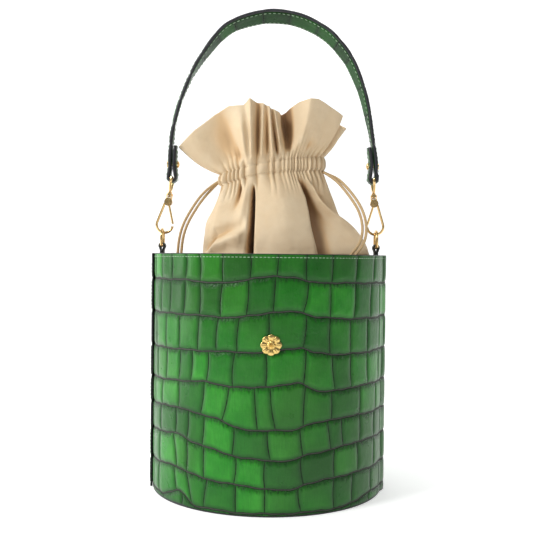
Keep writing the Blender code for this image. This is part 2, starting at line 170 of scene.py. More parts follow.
class Shader(Nodes):
    """A material's nodes, with its Principled shader as `surface`."""

    def __init__(self, name):
        self.material = bpy.data.materials.new(name)
        self.material.use_nodes = True
        super().__init__(self.material.node_tree)
        self.surface = self.tree.nodes["Principled BSDF"]
        self.place = self.add("ShaderNodeTexCoord").outputs["Object"]

    def shade(self, **values):
        for key, value in values.items():
            self.put(self.surface, key.replace("_", " "), value)

    def noise(self, scale, detail=2.0, rough=0.5, upright=None):
        """Noise. `upright`, its scale's share along +Z, draws it out when below 1."""
        place = self.place if upright is None else self.add(
            "ShaderNodeMapping", {"Vector": self.place, "Scale": (1, 1, upright)}).outputs[0]
        return self.add("ShaderNodeTexNoise", {"Vector": place, "Scale": scale,
                                               "Detail": detail, "Roughness": rough}).outputs[0]

    def threads(self, scale, distortion, direction):
        return self.add("ShaderNodeTexWave", {
            "Vector": self.place, "Scale": scale, "Distortion": distortion,
            "Detail": 1.0}, bands_direction=direction).outputs["Fac"]

    def cells(self, scale):
        return self.add("ShaderNodeTexVoronoi", {"Vector": self.place, "Scale": scale},
                        feature="F1").outputs["Distance"]

    def attribute(self, name):
        return self.add("ShaderNodeAttribute", attribute_name=name).outputs["Fac"]

    def bumps(self, *layers):
        """Bump layers of (height, distance in metres), one over the other."""
        normal = None
        for height, distance in layers:
            inputs = {"Height": height, "Distance": distance, "Strength": 1.0}
            if normal:
                inputs["Normal"] = normal
            normal = self.add("ShaderNodeBump", inputs).outputs[0]
        self.put(self.surface, "Normal", normal)


def rgb(colour, share=1.0):
    return (*(c * share for c in colour), 1.0)


def embossed_leather(name, tone, gloss):
    """Green leather pressed into scales: dark grooves, pillowed scales, a glossy finish.
    Painted shade darkens the scales near the grooves and just under each row groove.
    """
    s = Shader(name)
    # `tone` scales every green: 1 on the wall; below 1 it is painted shade.
    middling, light, deep, olive = (rgb(colour, tone) for colour in (
        LEATHER_GREEN, LEATHER_LIGHT, LEATHER_DEEP, LEATHER_OLIVE))
    across = s.math("ABSOLUTE", s.math("SUBTRACT", s.math(
        "FRACT", s.math("ADD", s.attribute("column"), 0.5)), 0.5))
    across = s.math("MULTIPLY", across, s.attribute("column_width"))
    row, under = s.attribute("row_distance"), s.attribute("under_row")
    ragged = s.math("SUBTRACT", s.noise(420, 4, 0.6), 0.5)
    row_edge = s.math("MULTIPLY_ADD", ragged, 1.1 * MM, row)
    column_edge = s.math("MULTIPLY_ADD", ragged, 0.9 * MM, across)
    floor = s.math("MINIMUM", s.ramp(row_edge, 0.55 * MM, 0.95 * MM),
                   s.ramp(column_edge, 0.12 * MM, 0.42 * MM))
    edge = s.math("SMOOTH_MIN", s.math("SUBTRACT", row, 0.5 * MM), across, 2.0 * MM)
    flank = s.ramp(edge, 0.3 * MM, 4.5 * MM)
    ridge = s.ramp(s.math("MULTIPLY_ADD", ragged, 0.5 * MM, row), 0.1 * MM, 0.6 * MM, 1, 0)

    green = s.mix(s.ramp(s.noise(34, 4, 0.62), 0.33, 0.7), middling, light)
    green = s.mix(s.ramp(s.noise(11, 2), 0.42, 0.66, 0, 0.6), green, olive)
    # Each scale's random darkening with the deep green; on the wall this also carries painted
    # shade towards one side.
    green = s.mix(s.ramp(s.attribute("tint_and_shade"), 0, 1, 0, 0.62), green, deep)
    streaks = s.ramp(s.noise(620, 5, 0.65, 0.22), 0.40, 0.54)
    # Creases just under each row groove: bumps, and painted shade that darkens the green there.
    pleats_and_shade = s.math("MULTIPLY", s.ramp(under, 1.0 * MM, 6.5 * MM, 1, 0),
                     s.math("SUBTRACT", 1.0, streaks))
    brushed = s.noise(900, 4, 0.6, 0.12)
    # Painted shade under each row groove.
    green = s.mix(s.math("MULTIPLY", pleats_and_shade, 0.75), green, deep)
    green = s.mix(s.ramp(brushed, 0.35, 0.75, 0, 0.22), green, deep)
    # Painted shade: the green darkens by up to half on the scales' flanks towards a groove.
    green = s.mix(s.ramp(flank, 0, 1, 0.5, 0), green, deep)
    groove = s.mix(s.math("MULTIPLY", ridge, 0.8), rgb(GROOVE_DARK), rgb(GROOVE_RIDGE))
    s.shade(Base_Color=s.mix(floor, groove, green),
            Roughness=s.math("MULTIPLY_ADD", s.noise(70, 4), 0.22,
                             s.ramp(floor, 0, 1, 0.5, 0.20)),
            Coat_Weight=0.05, Coat_Roughness=0.1, Specular_IOR_Level=gloss)
    s.bumps((brushed, 0.05 * MM), (pleats_and_shade, -0.25 * MM), (s.noise(120, 3), 0.5 * MM),
            (floor, 0.45 * MM), (flank, 0.35 * MM))
    return s.material


def plain_leather(name, colour, roughness, relief=0.12):
    s = Shader(name)
    tone = s.ramp(s.noise(160, 4), 0.3, 0.75)
    s.shade(Base_Color=s.mix(tone, rgb(colour), rgb([c * 1.7 + 0.004 for c in colour])),
            Roughness=s.math("MULTIPLY_ADD", s.noise(240, 2), 0.25, roughness))
    s.bumps((s.cells(1300), relief * MM), (s.noise(500, 4), 0.2 * MM))
    return s.material


def woven(name, colour, shade, scale, roughness, sheen=0.25, painted_hollow_shade=False):
    """A plain weave of fine threads, uneven in tone. Folded cloth gets painted shade in its
    hollows.
    """
    s = Shader(name)
    weave = s.math("MULTIPLY", s.threads(scale, 0.6, "DIAGONAL"), s.threads(scale, 0.6, "Z"))
    tone = s.ramp(s.noise(30, 4, 0.6), 0.3, 0.72)
    slub = s.ramp(s.noise(260, 3, 0.6, 0.15), 0.35, 0.7)
    cloth = s.mix(tone, rgb(shade), rgb(colour))
    cloth = s.mix(s.math("MULTIPLY", s.math("SUBTRACT", 1.0, weave), 0.16), cloth,
                  rgb(colour, 0.55))
    cloth = s.mix(s.math("MULTIPLY", slub, 0.12), cloth, rgb(colour, 0.8))
    if painted_hollow_shade:
        # Painted shade: ochre in shallow hollows, dark brown in deep ones.
        hollow_shade = s.attribute("hollow_shade")
        cloth = s.mix(s.ramp(hollow_shade, 0.0, 0.35, 0, 0.9), cloth, rgb(CLOTH_HALF_SHADE))
        cloth = s.mix(s.ramp(hollow_shade, 0.15, 1.0, 0, 0.95), cloth, rgb(CLOTH_DEEP_SHADE))
    s.shade(Base_Color=cloth, Roughness=s.ramp(slub, 0, 1, roughness, roughness - 0.12),
            Sheen_Weight=sheen, Sheen_Roughness=0.4, Sheen_Tint=rgb((1, 0.93, 0.82)))
    s.bumps((weave, 0.07 * MM), (s.noise(900, 3), 0.06 * MM))
    return s.material


def metal(name, colour, roughness):
    s = Shader(name)
    wear = s.ramp(s.noise(420, 4, 0.6), 0.35, 0.75)
    brushed = s.noise(1600, 3, 0.6, 0.2)
    s.shade(Base_Color=s.mix(wear, rgb(colour), rgb(colour, 0.82)),
            Metallic=1.0, Roughness=s.math("MULTIPLY_ADD", brushed, 0.16, roughness))
    s.bumps((brushed, 0.012 * MM), (s.noise(300, 2), 0.03 * MM))
    return s.material


def twisted_cord(name, colour):
    """Fine cord: slanting strands and a matt surface."""
    s = Shader(name)
    strands = s.threads(320, 1.2, "DIAGONAL")
    tone = s.mix(s.math("MULTIPLY", s.math("SUBTRACT", 1.0, strands), 0.35), rgb(colour),
                 rgb(colour, 0.5))
    s.shade(Base_Color=tone, Roughness=s.ramp(s.noise(400), 0, 1, 0.6, 0.85),
            Sheen_Weight=0.2)
    s.bumps((strands, 0.18 * MM), (s.noise(1500, 2), 0.05 * MM))
    return s.material


EMBOSSED = embossed_leather("embossed_leather", 1.0, 0.26)
# The strap's copy of the wall's leather, at a third of its brightness as painted shade for the
# strap's shaded underside, and less glossy.
SHADED_STRAP_LEATHER = embossed_leather("strap_leather", 0.33, 0.08)
EDGE_PAINT = plain_leather("edge_paint", (0.012, 0.013, 0.016), 0.32, 0.05)
BLACK_LEATHER = plain_leather("black_leather", (0.012, 0.016, 0.013), 0.38)
SUEDE = plain_leather("suede_back", (0.10, 0.12, 0.08), 0.75)
BOARD = plain_leather("board", (0.35, 0.26, 0.17), 0.8)
LINING = woven("lining", (0.62, 0.48, 0.33), (0.50, 0.37, 0.25), 620, 0.8)
CLOTH = woven("pouch_cloth", CLOTH_BEIGE, (0.80, 0.61, 0.38), 680, 0.66, 0.15, True)
CORD = twisted_cord("cord", (0.66, 0.46, 0.23))
GOLD = metal("gold_metal", (0.93, 0.66, 0.30), 0.14)
OLD_GOLD = metal("rosette_gold", (0.80, 0.57, 0.20), 0.2)
STEEL = metal("spring_steel", (0.62, 0.62, 0.62), 0.22)
THREAD_MATERIAL = twisted_cord("green_thread", THREAD_GREEN)
CREAM_THREAD = twisted_cord("cream_thread", (0.66, 0.52, 0.34))


# ---- stitching

def stitches(name, places, body, material, length=STITCH_LENGTH, thick=THREAD):
    """Short rounded threads, one at each (point, direction, outward) of `places`."""
    sides, along = 6, (-1.0, -0.9, -0.6, 0.0, 0.6, 0.9, 1.0)
    girth = (0.25, 0.7, 0.95, 1.0, 0.95, 0.7, 0.25)
    points, faces = [], []
    for point, direction, outward in places:
        point, direction = Vector(point), Vector(direction).normalized()
        outward = Vector(outward).normalized()
        sideways = direction.cross(outward)
        first = len(points)
        for u, g in zip(along, girth):
            sunk = -0.9 * thick * u ** 4
            for i in range(sides):
                a = 2 * math.pi * i / sides
                points.append(point + direction * (u * length / 2)
                              + outward * (sunk + g * thick * math.sin(a))
                              + sideways * (g * thick * math.cos(a)))
        faces += [[first + k for k in face[::-1]] for face in tube(len(along), sides)]
    return mesh_piece(name, points, faces, [material], body=body)


# ---- wall

# Grooves between the rows of scales, from the top: (degrees, height in mm) of each.
ROW_GROOVES = (
    ((-95, 179), (-40, 179), (-25, 177), (-16, 178), (-8, 181), (3, 183), (13, 182),
     (18, 178.5), (31, 178), (50, 177.5), (95, 177)),
    ((-95, 151), (-40, 152), (-16, 151), (-7, 153), (2, 156), (14, 156), (20, 152.5),
     (35, 150), (60, 149), (95, 150)),
    ((-95, 122), (-46, 124), (-20, 125), (0, 125), (9, 128), (15, 129), (20, 125),
     (32, 122.5), (50, 122), (95, 123)),
    ((-95, 95), (-46, 99), (-31, 101), (-20, 99), (-7, 98), (3, 100), (14, 102),
     (18, 99), (23, 95), (34, 94.5), (45, 96), (95, 96)),
    ((-95, 73), (-46, 78), (-37, 76), (-24, 74), (-15, 67.5), (-7, 66), (12, 66),
     (17, 70), (24, 71), (35, 73), (48, 73), (95, 72)),
    ((-95, 50), (-46, 57), (-37, 53), (-24, 49), (-13, 45), (1, 43), (11, 43),
     (17, 46.5), (33, 50), (48, 52), (95, 50)),
    ((-95, 25), (-48, 31), (-38, 28), (-30, 26), (-15, 24), (-2, 22), (10, 20),
     (17, 24.5), (27, 26.5), (44, 28), (95, 27)),
    ((-95, 3), (-60, 4), (-46, 12), (-42, 11), (-36, 3.5), (-10, 2.6), (37, 3),
     (46, 5), (55, 8), (95, 6)),
)
# Upright grooves of the front half's rows from the top, in degrees. Two numbers: at the
# row's top and foot.
FRONT_COLUMNS = (
    (-52, (-41, -42), -33, -21, (-8, -8.5), (4, 3.5), 17, (30, 29.5), (45, 44), (61, 60)),
    ((-53, -54), (-42, -43), -33, (-21, -22), (-9, -10), (3, 2), (18, 15.5), 29, (44, 43),
     (58, 57)),
    (-57, -46, (-33, -34), (-23, -24), (-13, -14), (0, -0.5), (17, 15.5), 29, 41, 54),
    ((-56, -57), (-45, -46), (-37, -38), (-28, -29), (-15, -16), -1, (17, 16), (30, 32),
     (41.5, 42), (54, 55)),
    ((-60, -61), -46, (-30, -32), (-17.5, -21), (-6, -4.5), (1, 3.5), (17, 16), 30, 48, 64),
    (-62, -48, (-39, -40), (-30, -31), (-15, -16), (0, 1.5), (14.5, 16), (28, 30), (36, 37),
     48, 62),
    (-63, (-50, -47), -40, -30, (-14, -15), -1, (15, 16.5), 32, (46, 47), 62),
    (-64, (-49, -47), (-40, -36.5), (-28, -30), -14, -1, (14, 15.5), 32, (43.5, 43), 59),
    (-58, -43, -31, -17, -2, 13, 28, 42, 57),
)
# Shares of a row's height, from its top, at which the wall has points.
ROW_SHARES = (0, 0.03, 0.07, 0.13, 0.24, 0.38, 0.5, 0.62, 0.76, 0.87, 0.93, 0.97, 1)
# Rows up the inside: height in mm and share of the edge's rounding that is left.
INSIDE_ROWS = ((0, 1), (0.3, 0.3), (1, 0), (60, 0), (199, 0), (199.7, 0.3), (200, 1))
COLUMN_GAP = (8.5, 15.5)  # degrees between upright grooves that are drawn at random
NOSE_LENGTH = 0.8 * MM  # over which a cut end rounds off
NOSE_PINCH = 0.9 * MM
FIELDS = ("row_distance", "under_row", "column", "column_width", "tint_and_shade")


def groove_heights(degrees, seed):
    """Heights of all row lines along the wall, from the top edge down, in metres."""
    turn = np.radians(degrees)
    lines = [np.full(len(degrees), HEIGHT - EDGE_ROUND)]
    kernel = np.hanning(15)
    kernel /= kernel.sum()
    for k, groove in enumerate(ROW_GROOVES):
        height = np.interp(degrees, *np.transpose(groove))
        height = np.convolve(np.pad(height, 7, mode="edge"), kernel, "valid")
        height = height + 0.3 * np.sin(17 * turn + 2.7 * k + seed) \
            + 0.2 * np.sin(41 * turn + 1.3 * k)
        lines.append(height * MM)
    lines.append(np.full(len(degrees), EDGE_ROUND))
    lines[-2] = np.maximum(lines[-2], EDGE_ROUND + 1.4 * MM)
    return lines


def column_grooves(low, high, chosen, picker):
    """One row's upright grooves from `low` to `high` degrees, `chosen` ones first."""
    grooves = [groove if isinstance(groove, tuple) else (groove, groove) for groove in chosen]
    left = grooves[0][0] if grooves else 0.0
    right = grooves[-1][0] if grooves else 0.0
    while left > low - 5:
        left -= picker.uniform(*COLUMN_GAP)
        grooves.insert(0, (left, left + picker.uniform(-1.2, 1.2)))
    while right < high + 5:
        right += picker.uniform(*COLUMN_GAP)
        grooves.append((right, right + picker.uniform(-1.2, 1.2)))
    return grooves


def groove_depth(edge):
    """How far the surface sinks at a distance from the nearest groove's middle line."""
    return (0.42 * MM * np.exp(-(edge / (0.8 * MM)) ** 2)
            + 0.40 * MM * np.exp(-edge / (3.2 * MM)))


def scale_row(row, top, foot, degrees, grooves, tints):
    """One row of scales, at each of ROW_SHARES: its heights, its distances from the nearest
    groove, and the values of FIELDS. The first row has no groove above it."""
    heights, edges, values = [], [], {key: [] for key in FIELDS}
    tall = top - foot
    for share in ROW_SHARES:
        bend = 0.6 * math.sin(math.pi * share)
        at = np.array([g[0] + (g[1] - g[0]) * share + bend * math.sin(7 * g[0] + row)
                       for g in grooves])
        column = np.interp(degrees, at, np.arange(len(at)))
        cell = np.clip(column.astype(int), 0, len(at) - 2)
        width = (at[cell + 1] - at[cell]) * math.radians(1) * RADIUS
        aside = np.abs((column + 0.5) % 1 - 0.5) * width
        rise = (1 - share if row == 0 else min(share, 1 - share)) * tall
        heights.append(top - share * tall)
        edges.append(np.maximum(soft_min(np.maximum(rise - 0.5 * MM, 0), aside, 2.0 * MM), 0))
        under = share * tall + (NO_GROOVE if row == 0 else 0)
        # Each scale's own random darkening, plus painted shade that darkens each half towards
        # its larger angles, the front towards +X.
        tint_and_shade = np.array([tints[c] for c in cell]) + 0.3 * smooth_step(degrees / 60)
        for key, value in zip(FIELDS, (rise, under, column, width, tint_and_shade)):
            values[key].append(value)
    return heights, edges, values


def rounding(turn):
    """At a turn round a rounded edge: how far back it has gone, and how far is left to go."""
    a = math.radians(turn)
    return EDGE_ROUND * (1 - math.cos(a)), EDGE_ROUND * (1 - math.sin(a))


def panel(name, polar, heights, radii, paint, fields):
    """A closed panel of the wall: rows of points go down its outside and up its inside."""
    rows, count = heights.shape
    turn = np.radians(polar)
    points = np.stack([radii * np.cos(turn), radii * np.sin(turn), heights], -1)
    index = np.arange(rows * count).reshape(rows, count)
    faces = list(quad_corners(np.vstack([index, index[:1]])).reshape(-1, 4))
    faces += [list(index[::-1, 0]), list(index[:, -1])]
    piece = mesh_piece(name, points.reshape(-1, 3), faces, [EMBOSSED, EDGE_PAINT, SUEDE],
                       np.concatenate([paint.ravel(), [1, 1]]), "bag")
    steps = len(ROW_SHARES) - 1
    for key, blocks in fields.items():
        grid = np.zeros((rows, count - 1, 4))
        for row, block in enumerate(blocks):
            grid[row * steps:(row + 1) * steps] = quad_corners(block)
        corner_values(piece, key, grid, 2 * rows)
    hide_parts(name.replace("_skin", ""))


def wall_half(name, start, stop, rise_from, middle, chosen, seed, spacing):
    """Half of the wall as one thick panel. Returns its outside radius as a function."""
    picker = random.Random(seed)
    count = int(RADIUS * math.radians(stop - start) / spacing)
    polar = np.linspace(start, stop, count)
    degrees = polar - middle
    lines = groove_heights(degrees if chosen else -degrees, seed * 0.7)
    ends = np.minimum(polar - start, stop - polar) * math.radians(1) * RADIUS
    nose = np.clip(ends / NOSE_LENGTH, 0, 1)
    pinch = (1 - np.sqrt(1 - (1 - nose) ** 2)) * NOSE_PINCH
    lap = LAP_RISE * smooth_step((polar - rise_from) / LAP_BEND)
    outside = RADIUS + lap - pinch
    inside = RADIUS - LEATHER + lap + pinch

    rows, fields = [], {key: [] for key in FIELDS}
    last = len(lines) - 2
    for row, (top, foot) in enumerate(zip(lines, lines[1:])):
        grooves = column_grooves(degrees[0], degrees[-1], chosen[row] if chosen else (),
                                 picker)
        tints = [picker.random() for _ in range(len(grooves) + 1)]
        levels, edges, values = scale_row(row, top, foot, degrees, grooves, tints)
        for key in FIELDS:
            fields[key].append(np.array(values[key]))
        own = len(ROW_SHARES) if row == last else len(ROW_SHARES) - 1
        for height, edge in zip(levels[:own], edges[:own]):
            quiet = smooth_step((HEIGHT - height) / (5 * MM)) * 0.75 + 0.25
            quiet = quiet * (smooth_step(height / (4 * MM)) * 0.6 + 0.4)
            rows.append((height, outside - groove_depth(edge) * quiet))

    outer, rim, base = len(rows), rows[0][1], rows[-1][1]
    rows += [(np.full(count, left), base - back) for back, left in map(rounding, (30, 60, 90))]
    rows += [(np.full(count, height * MM), inside + EDGE_ROUND * share)
             for height, share in INSIDE_ROWS]
    rows += [(np.full(count, HEIGHT - left), rim - back)
             for back, left in map(rounding, (90, 60, 30))]
    heights, radii = np.transpose(rows, (1, 0, 2))
    # Which faces are embossed (0), painted along the cut edges (1) and suede inside (2).
    paint = np.zeros((len(heights), count - 1), np.int32)
    paint[outer - 4:] = 1
    paint[outer + 5:outer + 7] = 2
    paint[:, 0] = paint[:, -1] = 1
    panel(name, polar, heights, radii, paint, fields)

    def radius_at(angle, height):
        column = int(np.argmin(np.abs(polar - angle)))
        row = int(np.argmin(np.abs(heights[:outer, column] - height)))
        return radii[row, column]
    return radius_at


def wall_stitching(name, start, stop, radius_at):
    """Stitches along the rim from `start` to `stop` degrees, and down the cut end there."""
    step = math.degrees(STITCH_PITCH / RADIUS)
    height = HEIGHT - STITCH_DOWN
    spots = [(start + (i + 0.5) * step, height, False)
             for i in range(int((stop - start) / step))]
    spots += [(stop, STITCH_DOWN + (i + 0.5) * STITCH_PITCH, True)
              for i in range(int((height - 2 * STITCH_DOWN) / STITCH_PITCH))]
    places, up = [], Vector((0, 0, 1))
    for angle, z, upright in spots:
        turn = math.radians(angle)
        outward = Vector((math.cos(turn), math.sin(turn), 0))
        point = outward * (radius_at(angle, z) + 0.3 * THREAD)
        point.z = z
        places.append((point, up if upright else up.cross(outward), outward))
    stitches(name, places, "bag", THREAD_MATERIAL)


def wall():
    inset = math.degrees(STITCH_DOWN / RADIUS)
    front = wall_half("wall_front_skin", 173, 369, 344, 270, FRONT_COLUMNS, 3, 0.62 * MM)
    back = wall_half("wall_back_skin", -8, 189, 165, 90, None, 11, 0.8 * MM)
    wall_stitching("rim_stitching_front", 190, 369 - inset, front)
    wall_stitching("rim_stitching_back", 9.5, 189 - inset, back)


ROSETTE_X, ROSETTE_HEIGHT = 2 * MM, 131 * MM
ROSETTE_REACH = 8.2 * MM
DOME_SHARE = 0.38  # of the rosette's radius


def rosette():
    """A plain eight-petalled rosette on the front: ribbed petals round a beaded dome."""
    around, rings = 96, 30
    turn = 2 * math.pi * np.arange(around) / around
    petal = np.abs(np.cos(4 * turn))
    reach = ROSETTE_REACH * (0.86 + 0.14 * petal ** 0.7)
    back = -RADIUS - 0.3 * MM

    def ring(share, heights):
        return [(ROSETTE_X + r * share * math.cos(a), back - h * MM,
                 ROSETTE_HEIGHT + r * share * math.sin(a))
                for r, a, h in zip(reach, turn, heights)]

    points = []
    for share in np.linspace(0.03, 1, rings):
        out = np.clip((share - 0.42) / 0.58, 0, 1)
        crown = 0.35 + 0.95 * petal ** 0.8 * math.sin(math.pi * min(out, 0.97)) ** 0.6
        crown = crown - 0.35 * np.exp(-((petal - 1) / 0.03) ** 2) * math.sin(math.pi * out)
        dome = 1.0 + 1.2 * math.sqrt(max(0.0, 1 - (share / DOME_SHARE) ** 2))
        beads = 0.25 * np.cos(12 * turn) * math.sin(math.pi * min(share / 0.36, 1))
        height = (dome + beads) if share < DOME_SHARE else crown
        points += ring(share, height * np.ones(around) * (1 if share < 1 else 0.3))
    points += ring(1, np.zeros(around))
    piece = mesh_piece("rosette", points, tube(rings + 1, around), [OLD_GOLD], None, "bag")
    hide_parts("ornament")


# ---- strap

STRAP_THICK = 3.6 * MM
STRAP_EDGE = 0.9 * MM  # how far the painted edge rounds out past the faces
CORNER_CUT = 2.2 * MM  # taken off each corner of an end
STRAP_WIDE = 21 * MM
STRAP_NARROW = 13.6 * MM
CROWN = HEIGHT + 207.5 * MM
# Each end's fold round its eye: how far out and how high its middle is, right and left.
FOLDS = {1: (90.065 * MM, 266.4 * MM), -1: (85.01 * MM, 265.85 * MM)}
FOLD_BEND = 3.2 * MM
EYE_HEIGHT = FOLDS[1][1]  # of the right fold's middle
FOOT = 67 * MM  # length of an end without stitches on its inner face
FLAP_STEPS = 16  # steps of the strap's line that each flap covers
ARCH_STEP = 1.2 * MM
SCALE_GAP = (17, 27)  # mm between the strap's cross grooves
# The strap's middle line over the crown, from right to left: x and z in mm.
ARCH = ((90.3, 293), (86.4, 315), (80.3, 341), (69.8, 366.5), (58.2, 382.5), (45.5, 394),
        (25, 404), (3, 407.5), (-16, 405), (-34.2, 398.5), (-45.8, 389), (-57.4, 374.4),
        (-68.3, 357.5), (-79.2, 332), (-84.6, 310), (-86.4, 292))
# Twist of the strap at an x in mm: the degrees by which its front edge leans outwards.
TWIST = ((-84, -11), (-75, -7), (-62, 1), (-45, 9), (0, 14), (60, 12), (86, 9), (90, 0))


def flap_line(limb, side):
    """The flap's middle line, top to bottom, along the inner face of the limb's foot."""
    out = []
    for below, above in zip(limb[:FLAP_STEPS + 1], limb[1:]):
        ahead = (above - below).normalized()
        inward = Vector((-ahead.z, 0, ahead.x)) * side
        out.append(below + inward * (STRAP_THICK + 0.3 * MM))
    return out[::-1]


def strap_route():
    """The strap's middle line from the right flap's end over the crown to the left one."""
    feet, folds = [], []
    for side in (1, -1):
        x, bar = FOLDS[side]
        foot = side * (x + (STRAP_THICK + 0.3 * MM) / 2)
        feet.append([Vector((foot, 0, bar + rise * MM)) for rise in (9, 15)])
        turns = [math.radians(d) for d in range(170, 371, 10)]
        folds.append([Vector((side * (x + FOLD_BEND * math.cos(a)), 0,
                              bar + FOLD_BEND * math.sin(a))) for a in turns])
    over = [Vector((x, 0, z)) * MM for x, z in ARCH]
    limbs = smooth_route([*feet[0], *over, *feet[1][::-1]], ARCH_STEP)
    return (flap_line(limbs, 1) + folds[0] + limbs
            + folds[1][::-1] + flap_line(limbs[::-1], -1)[::-1])


def even_line(points, spacing):
    """Points every `spacing` along a line of points, its ends included."""
    run = np.concatenate([[0], np.cumsum([(b - a).length
                                          for a, b in zip(points, points[1:])])])
    count = max(2, int(round(run[-1] / spacing)) + 1)
    at = np.linspace(0, run[-1], count)
    xyz = np.array([tuple(p) for p in points])
    return np.stack([np.interp(at, run, xyz[:, k]) for k in range(3)], -1), at


def strap_section():
    """Points round the strap's cross-section: place across (-1 to 1), reach past the face,
    depth, and whether the point is on a face."""
    half, section = STRAP_THICK / 2, []
    for sign in (-1, 1):
        for u in np.linspace(-1, 1, 15) * sign:
            section.append((u, 0.0, -sign * (half - 0.35 * MM * abs(u) ** 6), True))
        for turn in (35, 90, 145):
            a = math.radians(turn)
            section.append((sign, math.sin(a) * STRAP_EDGE,
                            -sign * math.cos(a) * (half - 0.5 * MM), False))
    return section


def strap_scales(run):
    """Scales along the strap: column number, scale length, tint and distance to a groove."""
    picker = random.Random(5)
    grooves = [-5 * MM]
    while grooves[-1] < run[-1] + 10 * MM:
        grooves.append(grooves[-1] + picker.uniform(*SCALE_GAP) * MM)
    column = np.interp(run, grooves, np.arange(len(grooves)))
    gap = np.array([b - a for a, b in zip(grooves, grooves[1:])])
    cell = np.clip(column.astype(int), 0, len(gap) - 1)
    tints = np.array([picker.random() for _ in gap])
    edge = np.abs((column + 0.5) % 1 - 0.5) * gap[cell]
    return column, gap[cell], tints[cell], edge


def strap():
    line, run = even_line(strap_route(), 1.0 * MM)
    kernel = np.array([0.25, 0.5, 0.25])
    for _ in range(3):
        for k in (0, 2):
            line[1:-1, k] = np.convolve(line[:, k], kernel, "valid")
    ahead = np.gradient(line, axis=0)
    ahead /= np.linalg.norm(ahead, axis=1)[:, None]
    outward = np.stack([ahead[:, 2], 0 * ahead[:, 1], -ahead[:, 0]], -1)
    rise = line[:, 2] - EYE_HEIGHT
    share = smooth_step((rise - 34 * MM) / (CROWN - EYE_HEIGHT - 60 * MM))
    twist = np.interp(line[:, 0] / MM, *np.transpose(TWIST))
    lean = np.tan(np.radians(twist * smooth_step((rise - 32 * MM) / (25 * MM))))
    width = STRAP_NARROW + (STRAP_WIDE - STRAP_NARROW) * share
    to_end = np.minimum(run, run[-1] - run)
    corner = 1 - np.clip(to_end / (4 * MM), 0, 1)
    width = width - 2 * CORNER_CUT * (1 - np.sqrt(1 - corner ** 2))

    column, length, tint_and_shade, edge = strap_scales(run)
    section = strap_section()
    points = []
    for i, middle in enumerate(line):
        sunk = float(groove_depth(edge[i])) * 0.9
        for u, over, deep, on_face in section:
            reach = u * (width[i] / 2 - STRAP_EDGE) + math.copysign(over, u)
            depth = deep - math.copysign(sunk * (1 if on_face else 0.2), deep)
            points.append(middle + outward[i] * (depth - reach * lean[i])
                          + np.array((0, reach, 0)))
    girth = len(section)
    faces = tube(len(line), girth)
    embossed = [section[i][3] and section[(i + 1) % girth][3] for i in range(girth)]
    kinds = [0 if embossed[f % girth] else 1 for f in range(len(faces) - 2)]
    piece = mesh_piece("strap_skin", points, faces, [SHADED_STRAP_LEATHER, EDGE_PAINT],
                       kinds + [1, 1], "handle")
    for key, per_ring in (("column", column), ("column_width", length), ("tint_and_shade", tint_and_shade)):
        near, far = per_ring[:-1], per_ring[1:]
        quads = np.repeat(np.stack([near, near, far, far], -1), girth, axis=0)
        corner_values(piece, key, quads, 2 * girth)
    for key in ("row_distance", "under_row"):
        corner_values(piece, key, np.full(4 * len(kinds), NO_GROOVE), 2 * girth)
    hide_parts("handle_strap")
    strap_stitching(line, run, ahead, outward, lean, width)


def strap_stitching(line, run, ahead, outward, lean, width):
    """Stitches down both edges of both faces, except where an inner face is covered."""
    places, last = [], -1.0
    for i, middle in enumerate(line):
        to_end = min(run[i], run[-1] - run[i])
        if to_end < 3 * MM or run[i] - last < STITCH_PITCH:
            continue
        last = run[i]
        for side in (-1, 1):
            reach = side * (width[i] / 2 - STITCH_DOWN)
            for face in (-1, 1):
                away = (Vector(outward[i]) + Vector((0, lean[i], 0))).normalized() * face
                point = Vector(middle - outward[i] * reach * lean[i]) \
                    + Vector((0, reach, 0)) + away * (STRAP_THICK / 2 + 0.1 * MM)
                if face > 0 or to_end > FOOT:
                    places.append((point, ahead[i], away))
    stitches("strap_stitching", places, "handle", THREAD_MATERIAL)


# ---- pouch

# All in mm. Hidden part: height, centre in x, half widths in x and y.
POUCH_LOW = ((7, 0, 60, 60), (7.5, 0, 84, 84), (14, 0, 88, 88), (60, 0, 88, 88),
             (115, 2, 86, 84), (160, 5, 76, 72), (200, 12, 70, 56))
# Visible part: share of the way from the rim to the neck, then the same.
POUCH_HIGH = ((0, 12, 70, 56), (0.16, 10, 67.5, 52), (0.33, 6.5, 62.5, 45),
              (0.47, 2.5, 58, 38), (0.64, 3.5, 53, 29), (0.84, 3, 47, 18.5),
              (1, 1, 43.5, 12.5))
# Top edge of the ruffle's front and back: place across the neck (-1 to 1), x and z in mm.
FRONT_EDGE = ((-1, -80, 292.5), (-0.85, -66, 306.5), (-0.7, -49, 319), (-0.55, -36, 325.8),
              (-0.43, -23, 326), (-0.36, -17, 331), (-0.3, -12, 328.5), (-0.2, -6, 327.4),
              (-0.1, -1, 324.3), (0, 3.5, 321.8), (0.08, 7, 321), (0.16, 10, 318.5),
              (0.26, 17, 324.4), (0.36, 24, 329), (0.46, 32, 331.1), (0.56, 38.5, 331),
              (0.66, 45.5, 327.6), (0.78, 53, 323.5), (0.92, 60, 318.5), (0.97, 60.5, 314),
              (1, 64, 309))
BACK_EDGE = ((-1, -80, 292.5), (-0.7, -46, 315), (-0.4, -20, 328), (-0.2, -7, 329),
             (-0.05, -2, 326), (0.1, 6, 323), (0.25, 18, 326), (0.4, 30, 326.5),
             (0.6, 45, 323.5), (0.8, 58, 317), (0.93, 67, 311.5), (1, 64, 309))
